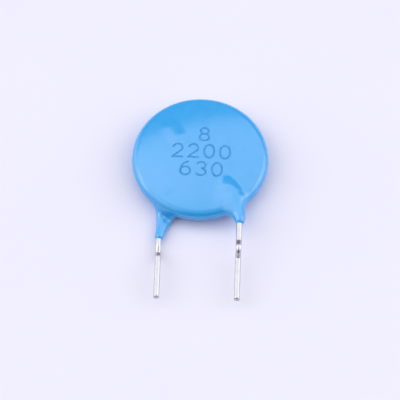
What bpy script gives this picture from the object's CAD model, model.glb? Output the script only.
import math

import bpy
import numpy as np
from mathutils import Matrix, Vector


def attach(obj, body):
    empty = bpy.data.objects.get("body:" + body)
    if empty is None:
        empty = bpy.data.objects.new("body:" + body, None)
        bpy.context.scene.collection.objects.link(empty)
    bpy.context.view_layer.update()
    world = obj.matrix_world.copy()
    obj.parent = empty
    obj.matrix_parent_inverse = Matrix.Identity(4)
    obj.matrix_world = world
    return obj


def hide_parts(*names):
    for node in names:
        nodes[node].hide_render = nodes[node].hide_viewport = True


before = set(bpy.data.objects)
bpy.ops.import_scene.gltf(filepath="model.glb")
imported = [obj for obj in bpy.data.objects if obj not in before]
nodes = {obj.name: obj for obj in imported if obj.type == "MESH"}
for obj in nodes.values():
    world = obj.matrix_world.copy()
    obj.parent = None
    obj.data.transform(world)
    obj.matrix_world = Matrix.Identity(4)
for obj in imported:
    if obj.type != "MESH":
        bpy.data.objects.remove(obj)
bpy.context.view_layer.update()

# ---------------------------------------------------------------------------------------
# Sizes, in millimetres, as in the part's source. Shapes are worked out with the disc's
# middle at the origin and its front face up, and placed by PLACE.
# ---------------------------------------------------------------------------------------
MM = 0.001
BODY_R = 6.5
BODY_T = 2.5
CROWN_R = 36.0
SHOULDER_R = 0.73
SHOULDER_TURN = math.radians(46)
BLEND = 0.8
WIRE_R = 0.275
WIRE_Z = 0.695
WIRE_END = 2.4
WIRE_SHIFT = 0.5
EXIT_X = 3.78
LEAD_SHIFT = 0.15
TIP_Y = -14.8
SWELL_R = WIRE_R + 0.22
CREEP_R = WIRE_R + 0.07
FRONT_CREEP = 0.65
BACK_CREEP = 1.85
REST_Z = 1.28494
STEP_IN = 0.03
KINK_Y = 9.08
KNEE_OUT = 0.2
KNEE_RISE = math.radians(20)
KNEE_FALL = math.radians(66)
ELBOW = math.radians(45)
ELBOW_R = 0.8
KNEE_R = 0.47
KINK_R = 0.35

PLACE = Vector((0, -(BODY_R + TIP_Y) / 2, REST_Z))

# ---------------------------------------------------------------------------------------
# Camera
# ---------------------------------------------------------------------------------------
AZ, EL, ROLL = 2.4, 61.74, -0.52
DIST = 0.30
SCALE = 10.493                      # pixels of a 400-pixel picture to a millimetre
CENTRE = (200.2, 159.35)           # picture place of the disc's middle


def make_camera():
    az, el, roll = (math.radians(v) for v in (AZ, EL, ROLL))
    back = Vector((math.sin(az) * math.cos(el), -math.cos(az) * math.cos(el), math.sin(el)))
    right = Vector((math.cos(az), math.sin(az), 0))
    up = back.cross(right)
    right, up = (right * math.cos(roll) + up * math.sin(roll),
                 up * math.cos(roll) - right * math.sin(roll))
    middle = PLACE * MM
    shift = (200 - CENTRE[0]) / SCALE * MM * right - (200 - CENTRE[1]) / SCALE * MM * up
    target = middle + shift
    cam = bpy.data.objects.new("camera", bpy.data.cameras.new("camera"))
    bpy.context.scene.collection.objects.link(cam)
    rot = Matrix((right, up, back)).transposed()
    cam.matrix_world = Matrix.Translation(target + back * DIST) @ rot.to_4x4()
    cam.data.sensor_width = 36
    cam.data.lens = 36 * DIST / (400 / SCALE * MM)
    cam.data.clip_start = 0.01
    cam.data.clip_end = 100
    bpy.context.scene.camera = cam


make_camera()

# ---------------------------------------------------------------------------------------
# The coating's surface: where coat(x, y, z) is zero
# ---------------------------------------------------------------------------------------


def melt(a, b, blend=BLEND):
    """Two shapes in one, with a soft fillet between them."""
    near = np.maximum(blend - np.abs(a - b), 0) / blend
    return np.minimum(a, b) - near * near * blend / 4


# The disc's section is three arcs: the crown of a face, the shoulder, and the rim. These
# are the turns where they meet, and their middles.
FLANK = math.pi / 4 - SHOULDER_TURN / 2
CROWN_TURN = math.asin(math.cos(FLANK)
                       * (BODY_R - SHOULDER_R + math.tan(FLANK) * (CROWN_R - BODY_T / 2))
                       / (CROWN_R - SHOULDER_R)) - FLANK
RIM_R = (SHOULDER_R + (BODY_T / 2 - CROWN_R + (CROWN_R - SHOULDER_R) * math.cos(CROWN_TURN))
         / math.cos(SHOULDER_TURN))
RIM_X = BODY_R - RIM_R
SHOULDER_X = (CROWN_R - SHOULDER_R) * math.sin(CROWN_TURN)
SHOULDER_Z = (RIM_R - SHOULDER_R) * math.cos(SHOULDER_TURN)


def disc(x, y, z):
    """Distance from the plain rounded disc."""
    r, up = np.hypot(x, y), np.abs(z)
    past_shoulder = (r - RIM_X) * math.cos(SHOULDER_TURN) > up * math.sin(SHOULDER_TURN)
    past_crown = ((r - SHOULDER_X) * math.cos(CROWN_TURN)
                  > (up - SHOULDER_Z) * math.sin(CROWN_TURN))
    return np.where(past_shoulder, np.hypot(r - RIM_X, up) - RIM_R,
                    np.where(past_crown, np.hypot(r - SHOULDER_X, up - SHOULDER_Z) - SHOULDER_R,
                             np.hypot(r, up - BODY_T / 2 + CROWN_R) - CROWN_R))


def rod(x, y, z, a, b):
    """Distance from a round rod between two points (x, y, z, radius)."""
    ba = np.array(b[:3]) - a[:3]
    pa = (x - a[0], y - a[1], z - a[2])
    t = np.clip(sum(p * q for p, q in zip(pa, ba)) / (ba @ ba), 0, 1)
    gap = np.sqrt(sum((p - t * q) ** 2 for p, q in zip(pa, ba)))
    return gap - a[3] - t * (b[3] - a[3])


# Where the coating swells over the run of a buried wire (swelling), over the wire from its
# elbow to the exit (sleeve), and between the rim and the sleeve (web): rods through points
# (x, y, z, radius), as seen from the wire's own face.
FRONT_SWELLING = [(-3.0, 2.9, 0.3, 0.5), (-2.4, 1.8, 0.42, 0.55), (-1.5, 1.0, 0.695, 0.0),
                  (1.59, -2.27, 0.621, -0.056), (2.51, -2.9, 0.672, 0.196),
                  (3.24, -3.95, 0.546, 0.334), (3.3, -5.7, 0.4, 0.55)]
BACK_SWELLING = [(-3.6, 3.9, 0.295, 0.35), (-2.5, 2.0, 0.45, 0.5), (-1.5, 1.0, 0.695, 0.0),
                 (1.0, -1.5, 0.695, -0.1), (2.13, -2.63, 0.275, 0.73), (3.13, -3.63, 0.36, 0.79)]
FRONT_SLEEVE = [(EXIT_X - 0.13, -EXIT_X - 0.832, WIRE_Z - 0.112, 0.365),
                (EXIT_X, -BODY_R, WIRE_Z, (SWELL_R + CREEP_R) / 2),
                (EXIT_X, -BODY_R - FRONT_CREEP + CREEP_R, WIRE_Z, CREEP_R)]
BACK_SLEEVE = [(EXIT_X - 0.06, -EXIT_X - 0.2, WIRE_Z - 0.05, 0.45),
               (EXIT_X - 0.08, -BODY_R, WIRE_Z, 0.38),
               (EXIT_X - 0.03, -BODY_R - BACK_CREEP + 0.33, WIRE_Z, 0.33)]
FRONT_WEB = [(EXIT_X + 0.127, -BODY_R + 1.09, WIRE_Z - 0.421, 0.261),
             (EXIT_X + 0.1, -BODY_R - FRONT_CREEP + 0.27, WIRE_Z, 0.25)]
BACK_WEB = [(EXIT_X - 1.0, -BODY_R + 0.5, WIRE_Z + 0.2, 0.30),
            (EXIT_X - 0.06, -BODY_R - BACK_CREEP + 0.25, WIRE_Z, 0.20)]
SLEEVE_BLEND = 0.7
WEB_BLEND = 0.6

# The mound over the front wire's elbow
LUMP_X, LUMP_Y = 2.65, -3.68
LUMP_TURN = math.radians(-7.07)
LUMP_LENGTH = 0.677                # each of these is where its slope is steepest
LUMP_FAR, LUMP_NEAR = 0.575, 2.25
LUMP_HEIGHT = 0.224
LUMP_FADE = 0.6                    # it fades out over this height above the disc's middle


def rods(x, y, z, line):
    """Distance from a chain of rods."""
    d = rod(x, y, z, line[0], line[1])
    for a, b in zip(line[1:], line[2:]):
        d = np.minimum(d, rod(x, y, z, a, b))
    return d


def swelling(x, y, z, bulge, sleeve, web):
    body = melt(rods(x, y, z, bulge), rods(x, y, z, sleeve), SLEEVE_BLEND)
    return melt(body, rod(x, y, z, *web), WEB_BLEND)


def lump(x, y, z):
    """How far the mound stands up: long and low, and steeper on its far side."""
    cos, sin = math.cos(LUMP_TURN), math.sin(LUMP_TURN)
    along = (x - LUMP_X) * cos + (y - LUMP_Y) * sin
    across = (y - LUMP_Y) * cos - (x - LUMP_X) * sin
    width = np.where(across > 0, LUMP_FAR, LUMP_NEAR)
    height = LUMP_HEIGHT * np.exp(-(along / LUMP_LENGTH) ** 2 / 2 - (across / width) ** 2 / 2)
    return height * np.clip(z / LUMP_FADE, 0, 1)


def coat(x, y, z):
    side = x - LEAD_SHIFT
    front = melt(disc(x, y, z), swelling(side, y, z, FRONT_SWELLING, FRONT_SLEEVE, FRONT_WEB))
    back = swelling(-side, y, -z, BACK_SWELLING, BACK_SLEEVE, BACK_WEB)
    return melt(front - lump(side, y, z), back)


def slope_of(f, p, e=0.001):
    """Gradient of f at points."""
    x, y, z = p.T
    return np.stack([f(x + e, y, z) - f(x - e, y, z), f(x, y + e, z) - f(x, y - e, z),
                     f(x, y, z + e) - f(x, y, z - e)], axis=1) / (2 * e)


def settle(f, p, times=3):
    """Points moved onto the surface where f is zero."""
    for _ in range(times):
        g = slope_of(f, p)
        p = p - (f(*p.T) / (g * g).sum(1))[:, None] * g
    return p


def surface(f, low, high, step):
    """Points and quads of the surface where f is zero: a point in each grid cell that it
    passes through, and a quad round each grid edge that it crosses."""
    axes = [np.arange(round((h - l) / step) + 1) * step + l for l, h in zip(low, high)]
    shape = [len(a) for a in axes]
    level = f(*np.meshgrid(*axes, indexing="ij"))
    inside = level < 0
    cells = [n - 1 for n in shape]
    total = np.zeros(cells + [3])
    count = np.zeros(cells)
    corners = [(i, j, k) for i in (0, 1) for j in (0, 1) for k in (0, 1)]
    for a in corners:
        for axis in range(3):
            if a[axis]:
                continue
            b = tuple(v + (n == axis) for n, v in enumerate(a))
            cut_a = tuple(slice(v, v + c) for v, c in zip(a, cells))
            cut_b = tuple(slice(v, v + c) for v, c in zip(b, cells))
            la, lb = level[cut_a], level[cut_b]
            hit = inside[cut_a] != inside[cut_b]
            t = np.where(hit, la / np.where(hit, la - lb, 1), 0)
            for n in range(3):
                total[..., n] += np.where(hit, a[n] + (t if n == axis else 0), 0)
            count += hit
    used = count > 0
    where = np.argwhere(used)
    points = (where + total[used] / count[used][:, None]) * step + np.array(low)
    number = np.full(cells, -1)
    number[used] = np.arange(len(where))
    quads = []
    for axis in range(3):
        u, v = (axis + 1) % 3, (axis + 2) % 3
        one = [slice(None)] * 3
        two = [slice(None)] * 3
        one[axis], two[axis] = slice(0, -1), slice(1, None)
        a, b = inside[tuple(one)], inside[tuple(two)]
        crossing = np.argwhere(a != b)
        flip = a[tuple(crossing.T)]
        eu = np.eye(3, dtype=int)[u]
        ev = np.eye(3, dtype=int)[v]
        ring = [crossing - eu - ev, crossing - ev, crossing, crossing - eu]
        q = np.stack([number[tuple(r.T)] for r in ring], axis=1)
        q[~flip] = q[~flip][:, ::-1]
        quads.append(q)
    return points, np.concatenate(quads)


def add_mesh(name, points, faces):
    """Points are in millimetres, with the disc's middle at the origin."""
    mesh = bpy.data.meshes.new(name)
    mesh.from_pydata([tuple(p) for p in (np.asarray(points) + np.array(PLACE)) * MM], [],
                     [tuple(int(i) for i in f) for f in faces])
    mesh.validate()
    mesh.polygons.foreach_set("use_smooth", [True] * len(mesh.polygons))
    obj = bpy.data.objects.new(name, mesh)
    bpy.context.scene.collection.objects.link(obj)
    return obj


COAT_STEP = 0.1                    # grid step of the coating's mesh
COAT_MARGIN = 0.35                 # room round the coating in the grid
COAT_HALF = 1.75                   # the grid's half height


def make_coating():
    wide = BODY_R + COAT_MARGIN
    low = (-wide, -BODY_R - max(FRONT_CREEP, BACK_CREEP) - COAT_MARGIN, -COAT_HALF)
    high = (wide, wide, COAT_HALF)
    points, quads = surface(coat, low, high, COAT_STEP)
    return add_mesh("coating", settle(coat, points), quads)


# ---------------------------------------------------------------------------------------
# Lead wires
# ---------------------------------------------------------------------------------------
RING_STEP = 0.12                   # between rings on a straight run
BEND_STEP = 0.06                   # and round a bend
WIRE_SIDES = 32


def trim(angle, radius):
    """How much a bend takes off each straight that it joins."""
    return radius * math.tan(angle / 2)


def lead_path():
    """Points along a lead's centre line."""
    kink_roll = math.pi / 2 + math.atan2(STEP_IN, WIRE_Z)
    kink_in = math.hypot(STEP_IN, WIRE_Z)
    knee_turn = KNEE_RISE + KNEE_FALL
    knee_corner = KNEE_OUT + KNEE_R * (math.cos((KNEE_FALL - KNEE_RISE) / 2)
                                       / math.cos(knee_turn / 2) - 1)
    foot_y = (KINK_Y + knee_corner / math.tan(KNEE_RISE)
              + (knee_corner + kink_in) / math.tan(KNEE_FALL))
    steps = [                      # (straight run, roll, bend's angle, bend's radius)
        (math.sqrt(2) * (EXIT_X + WIRE_END) - trim(ELBOW, ELBOW_R), 0, ELBOW, ELBOW_R),
        (KINK_Y - EXIT_X - WIRE_SHIFT - trim(ELBOW, ELBOW_R) - trim(KNEE_RISE, KINK_R),
         -kink_roll, KNEE_RISE, KINK_R),
        (knee_corner / math.sin(KNEE_RISE) - trim(KNEE_RISE, KINK_R) - trim(knee_turn, KNEE_R),
         math.pi, knee_turn, KNEE_R),
        ((knee_corner + kink_in) / math.sin(KNEE_FALL) - trim(knee_turn, KNEE_R)
         - trim(KNEE_FALL, KINK_R), math.pi, KNEE_FALL, KINK_R),
        (-TIP_Y - foot_y - trim(KNEE_FALL, KINK_R), 0, 0, 0),
    ]
    at = np.array([-WIRE_END, WIRE_END - WIRE_SHIFT, WIRE_Z])
    s = math.sqrt(0.5)
    x, y, z = np.array([s, s, 0]), np.array([0, 0, 1.0]), np.array([s, -s, 0])
    path = [at]
    for run, roll, angle, radius in steps:
        n = max(1, round(run / RING_STEP))
        path += [at + z * run * (i + 1) / n for i in range(n)]
        at = at + z * run
        if angle:
            x, y = (x * math.cos(roll) + y * math.sin(roll),
                    y * math.cos(roll) - x * math.sin(roll))
            middle = at - radius * x
            n = max(3, round(radius * angle / BEND_STEP))
            for i in range(1, n + 1):
                t = angle * i / n
                path.append(middle + radius * (math.cos(t) * x + math.sin(t) * z))
            at = path[-1]
            x, z = (math.cos(angle) * x + math.sin(angle) * z,
                    math.cos(angle) * z - math.sin(angle) * x)
    return np.array(path)


def make_lead(name, turned):
    """The front lead, or with turned the back one, which is the same wire turned over."""
    path = lead_path()
    if turned:
        path = path * (-1, 1, -1)
    path = path + (LEAD_SHIFT, 0, 0)
    sides = WIRE_SIDES
    tangent = np.gradient(path, axis=0)
    tangent /= np.linalg.norm(tangent, axis=1)[:, None]
    normal = np.array([0, 0, 1.0])
    rings = []
    turns = np.arange(sides) * 2 * math.pi / sides
    for p, t in zip(path, tangent):
        normal = normal - (normal @ t) * t
        normal /= np.linalg.norm(normal)
        side = np.cross(t, normal)
        rings.append(p + WIRE_R * (np.cos(turns)[:, None] * side + np.sin(turns)[:, None] * normal))
    points = np.concatenate(rings)
    faces = []
    for i in range(len(path) - 1):
        for j in range(sides):
            k = (j + 1) % sides
            faces.append((i * sides + j, (i + 1) * sides + j, (i + 1) * sides + k, i * sides + k))
    faces.append(tuple(range(sides)))
    faces.append(tuple(range(len(points) - 1, len(points) - sides - 1, -1)))
    return add_mesh(name, points, faces)


# ---------------------------------------------------------------------------------------
# Marking: plain digits in thin strokes of ink on the front face
# ---------------------------------------------------------------------------------------

# Lines of digits: (digits, middle x, middle y)
MARK_LINES = [("8", 0.30, 2.11), ("2200", 0.10, 0.25), ("630", 0.19, -1.65)]
MARK_PITCH = 1.5
MARK_TURN = math.radians(-1.5)
STROKE = 0.18
# Section of a stroke of ink: (place across in stroke widths, height above the coating)
INK_PROFILE = [(-0.5, 0.001), (-0.3, 0.005), (0.3, 0.005), (0.5, 0.001), (0.5, -0.02),
               (-0.5, -0.02)]


def arc(x, y, rx, ry, start, end):
    turns = np.radians(np.linspace(start, end, max(2, round(abs(end - start) / 12)) + 1))
    return [(x + rx * math.cos(t), y + ry * math.sin(t)) for t in turns]


# Each digit is a list of strokes about its middle, as points; one that ends where it began
# is a loop
DIGITS = {
    "0": [arc(0, 0, 0.48, 0.7, 90, 450)],
    "2": [arc(0, 0.28, 0.45, 0.42, 165, -38) + [(-0.5, -0.7), (0.5, -0.7)]],
    "3": [arc(-0.02, 0.36, 0.42, 0.34, 150, -90) + arc(-0.02, -0.34, 0.48, 0.36, 90, -150)[1:]],
    "6": [arc(0.35, -0.25, 0.82, 0.95, 100, 180), arc(0, -0.27, 0.47, 0.43, 180, 540)],
    "8": [arc(0, 0.36, 0.38, 0.34, -90, 270), arc(0, -0.34, 0.46, 0.36, 90, 450)],
}


def spread(stroke, step=0.05):
    """Points at even steps along a stroke."""
    stroke = np.array(stroke)
    lengths = np.hypot(*np.diff(stroke, axis=0).T)
    along = np.concatenate([[0], np.cumsum(lengths)])
    at = np.linspace(0, along[-1], max(2, round(along[-1] / step)) + 1)
    return np.stack([np.interp(at, along, stroke[:, i]) for i in (0, 1)], axis=1)


def ink_stroke(stroke):
    """Points across and along a stroke, and the faces of the thin closed strip of ink."""
    points = spread(stroke)
    loop = np.hypot(*(points[0] - points[-1])) < 1e-6
    if loop:
        points = points[:-1]
        ahead = np.roll(points, -1, axis=0) - np.roll(points, 1, axis=0)
        width = np.full(len(points), STROKE)
    else:
        first, last = points[0] - points[1], points[-1] - points[-2]
        first, last = (v / np.hypot(*v) * STROKE for v in (first, last))
        points = np.concatenate([[points[0] + 0.45 * first, points[0] + 0.3 * first], points,
                                 [points[-1] + 0.3 * last, points[-1] + 0.45 * last]])
        ahead = np.gradient(points, axis=0)
        width = np.full(len(points), STROKE)
        width[[0, -1]] *= 0.45
        width[[1, -2]] *= 0.8
    width = width * (1 + 0.1 * np.sin(points[:, 0] * 9 + points[:, 1] * 13))
    ahead /= np.hypot(*ahead.T)[:, None]
    side = np.stack([-ahead[:, 1], ahead[:, 0]], axis=1)
    rings = [points + side * (width * across)[:, None] for across, _ in INK_PROFILE]
    flat = np.stack(rings, axis=1).reshape(-1, 2)
    top = BODY_T / 2 - (flat ** 2).sum(axis=1) / (2 * CROWN_R)
    face = settle(coat, np.column_stack([flat, top]))
    face[:, 2] += np.tile([lift for _, lift in INK_PROFILE], len(points))
    n, k = len(points), len(INK_PROFILE)
    faces = [(i * k + j, (i + 1) % n * k + j, (i + 1) % n * k + (j + 1) % k, i * k + (j + 1) % k)
             for i in range(n if loop else n - 1) for j in range(k)]
    if not loop:
        faces += [tuple(range(k)), tuple((n - 1) * k + j for j in reversed(range(k)))]
    return face, faces


def make_marking():
    points, faces = [], []
    cos, sin = math.cos(MARK_TURN), math.sin(MARK_TURN)
    for text, middle_x, middle_y in MARK_LINES:
        for place, digit in enumerate(text):
            x = middle_x + (place - (len(text) - 1) / 2) * MARK_PITCH
            for stroke in DIGITS[digit]:
                drawn = [(x + u, middle_y + v) for u, v in stroke]
                turned = [(u * cos - v * sin, u * sin + v * cos) for u, v in drawn]
                strip, strip_faces = ink_stroke(turned)
                faces += [tuple(v + len(points) for v in face) for face in strip_faces]
                points += list(strip)
    return add_mesh("marking", np.array(points), faces)


# ---------------------------------------------------------------------------------------
# Materials
# ---------------------------------------------------------------------------------------


def material(name):
    mat = bpy.data.materials.new(name)
    mat.use_nodes = True
    tree = mat.node_tree
    return mat, tree, tree.nodes["Principled BSDF"]


def noise(tree, scale, detail):
    coord = tree.nodes.new("ShaderNodeTexCoord")
    n = tree.nodes.new("ShaderNodeTexNoise")
    n.inputs["Scale"].default_value = scale
    n.inputs["Detail"].default_value = detail
    n.inputs["Roughness"].default_value = 0.5
    tree.links.new(coord.outputs["Object"], n.inputs["Vector"])
    return n.outputs["Fac"]


def ramp(tree, fac, low, high):
    r = tree.nodes.new("ShaderNodeValToRGB")
    r.color_ramp.elements[0].position, r.color_ramp.elements[1].position = 0.3, 0.7
    r.color_ramp.elements[0].color = (*low, 1)
    r.color_ramp.elements[1].color = (*high, 1)
    tree.links.new(fac, r.inputs["Fac"])
    return r.outputs["Color"]


def bump(tree, fac, distance, normal=None):
    b = tree.nodes.new("ShaderNodeBump")
    b.inputs["Distance"].default_value = distance
    b.inputs["Strength"].default_value = 1.0
    tree.links.new(fac, b.inputs["Height"])
    if normal:
        tree.links.new(normal, b.inputs["Normal"])
    return b.outputs["Normal"]


def epoxy_material():
    mat, tree, shader = material("epoxy")
    tree.links.new(ramp(tree, noise(tree, 900, 4), (0.031, 0.364, 0.835), (0.037, 0.383, 0.865)),
                   shader.inputs["Base Color"])
    shader.inputs["Roughness"].default_value = 0.16
    shader.inputs["IOR"].default_value = 1.82
    waves = bump(tree, noise(tree, 700, 2), 0.000012)
    tree.links.new(bump(tree, noise(tree, 5000, 2), 0.0000012, waves), shader.inputs["Normal"])
    return mat


def ink_material():
    mat, tree, shader = material("ink")
    tree.links.new(ramp(tree, noise(tree, 2500, 3), (0.03, 0.24, 0.60), (0.06, 0.33, 0.76)),
                   shader.inputs["Base Color"])
    shader.inputs["Roughness"].default_value = 0.5
    shader.inputs["IOR"].default_value = 1.4
    return mat


def metal_material(name, low, high, rough, scale=2500):
    mat, tree, shader = material(name)
    shader.inputs["Metallic"].default_value = 1
    tree.links.new(ramp(tree, noise(tree, scale, 3), low, high), shader.inputs["Base Color"])
    tree.links.new(ramp(tree, noise(tree, scale * 2, 2), (rough - 0.04,) * 3, (rough + 0.04,) * 3),
                   shader.inputs["Roughness"])
    tree.links.new(bump(tree, noise(tree, scale, 2), 0.000004), shader.inputs["Normal"])
    return mat


def ceramic_material():
    mat, tree, shader = material("ceramic")
    tree.links.new(ramp(tree, noise(tree, 6000, 4), (0.52, 0.44, 0.34), (0.62, 0.54, 0.43)),
                   shader.inputs["Base Color"])
    shader.inputs["Roughness"].default_value = 0.6
    tree.links.new(bump(tree, noise(tree, 6000, 4), 0.00001), shader.inputs["Normal"])
    return mat


# ---------------------------------------------------------------------------------------
# Floor and light
# ---------------------------------------------------------------------------------------


FLOOR_R = 4.0                      # metres


def make_floor():
    mesh = bpy.data.meshes.new("floor")
    r = FLOOR_R
    mesh.from_pydata([(-r, -r, 0), (r, -r, 0), (r, r, 0), (-r, r, 0)], [], [(0, 1, 2, 3)])
    floor = bpy.data.objects.new("floor", mesh)
    bpy.context.scene.collection.objects.link(floor)
    mat, tree, shader = material("floor")
    tree.links.new(ramp(tree, noise(tree, 60, 4), (0.82, 0.805, 0.945), (0.83, 0.815, 0.955)),
                   shader.inputs["Base Color"])
    shader.inputs["Roughness"].default_value = 0.9
    shader.inputs["Specular IOR Level"].default_value = 0.0
    mesh.materials.append(mat)


# Brightness of the surroundings by direction. A sheet of light runs overhead from the left
# horizon to the right. Its edges are (lean, elevation towards +Y, half width of the soft
# border). Glows are (strength, azimuth from +Y towards +X, elevation, radius, half width of
# the soft border). Angles are in degrees.
DARK = 0.2
SHEET = 0.42
FAR_EDGE = (16, 48.8, 1.2)
NEAR_EDGE = (0, 125, 4)
MAIN = 1.05
MAIN_END = (0, 82, 9)
GLOWS = [(1.6, -75, 18, 26, 14), (0.9, 80, 18, 26, 14), (0.45, -78, 60, 27, 10),
         (0.9, -114, 35, 31, 12), (0.9, 114, 35, 31, 12)]


def make_world():
    world = bpy.data.worlds.new("world")
    world.use_nodes = True
    tree = world.node_tree
    coord = tree.nodes.new("ShaderNodeTexCoord").outputs["Generated"]

    def math_node(kind, *values):
        n = tree.nodes.new("ShaderNodeMath")
        n.operation = kind
        for socket, value in zip(n.inputs, values):
            if isinstance(value, (int, float)):
                socket.default_value = value
            else:
                tree.links.new(value, socket)
        return n.outputs[0]

    def dot(direction):
        n = tree.nodes.new("ShaderNodeVectorMath")
        n.operation = "DOT_PRODUCT"
        n.inputs[1].default_value = direction
        tree.links.new(coord, n.inputs[0])
        return n.outputs["Value"]

    def fade(value, low, high):
        n = tree.nodes.new("ShaderNodeMapRange")
        n.interpolation_type = "SMOOTHSTEP"
        n.inputs["From Min"].default_value = low
        n.inputs["From Max"].default_value = high
        tree.links.new(value, n.inputs["Value"])
        return n.outputs["Result"]

    def above(lean, elevation, soft):
        """1 on the near side of a plane that rises towards +Y at an elevation."""
        lean, el = math.radians(lean), math.radians(elevation)
        normal = (math.sin(lean), -math.sin(el) * math.cos(lean), math.cos(el) * math.cos(lean))
        edge = math.sin(math.radians(soft))
        return fade(dot(normal), -edge, edge)

    def cap(azimuth, elevation, radius, soft):
        az, el = math.radians(azimuth), math.radians(elevation)
        middle = (math.sin(az) * math.cos(el), math.cos(az) * math.cos(el), math.sin(el))
        angle = math_node("ARCCOSINE", math_node("MULTIPLY", dot(middle), 0.99999))
        return fade(angle, math.radians(radius + soft), math.radians(radius - soft))

    def less(value):
        return math_node("SUBTRACT", 1.0, value)

    sheet = math_node("ADD", math_node("MULTIPLY", less(above(*MAIN_END)), MAIN), SHEET)
    total = math_node("MULTIPLY", sheet, math_node("MULTIPLY", above(*FAR_EDGE),
                                                   less(above(*NEAR_EDGE))))
    total = math_node("ADD", total, math_node("MULTIPLY", less(above(*FAR_EDGE)), DARK))
    for strength, *place in GLOWS:
        total = math_node("ADD", math_node("MULTIPLY", cap(*place), strength), total)
    background = tree.nodes["Background"]
    background.inputs["Color"].default_value = (1.0, 1.0, 1.0, 1)
    tree.links.new(total, background.inputs["Strength"])
    bpy.context.scene.world = world


# ---------------------------------------------------------------------------------------
# The pieces
# ---------------------------------------------------------------------------------------
coating = make_coating()
coating.data.materials.append(epoxy_material())
wire = metal_material("tinned_wire", (0.57, 0.565, 0.61), (0.64, 0.635, 0.68), 0.34)
leads = [make_lead("front_lead_wire", False), make_lead("back_lead_wire", True)]
for lead in leads:
    lead.data.materials.append(wire)

marking = make_marking()
marking.data.materials.append(ink_material())

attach(coating, "root")
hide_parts("epoxy_coating")
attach(marking, "root")
for lead, node in zip(leads, ("front_lead", "back_lead")):
    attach(lead, "root")
    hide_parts(node)

inner = {"ceramic_disc": ceramic_material()}
silver = metal_material("silver", (0.68, 0.66, 0.62), (0.78, 0.76, 0.72), 0.42, 5000)
solder = metal_material("solder", (0.42, 0.42, 0.44), (0.52, 0.52, 0.54), 0.36)
for side in ("front", "back"):
    inner[side + "_electrode"] = silver
    inner[side + "_solder"] = solder
for node, mat in inner.items():
    nodes[node].data.materials.clear()
    nodes[node].data.materials.append(mat)

make_floor()
make_world()
bpy.context.scene.view_settings.view_transform = "Standard"
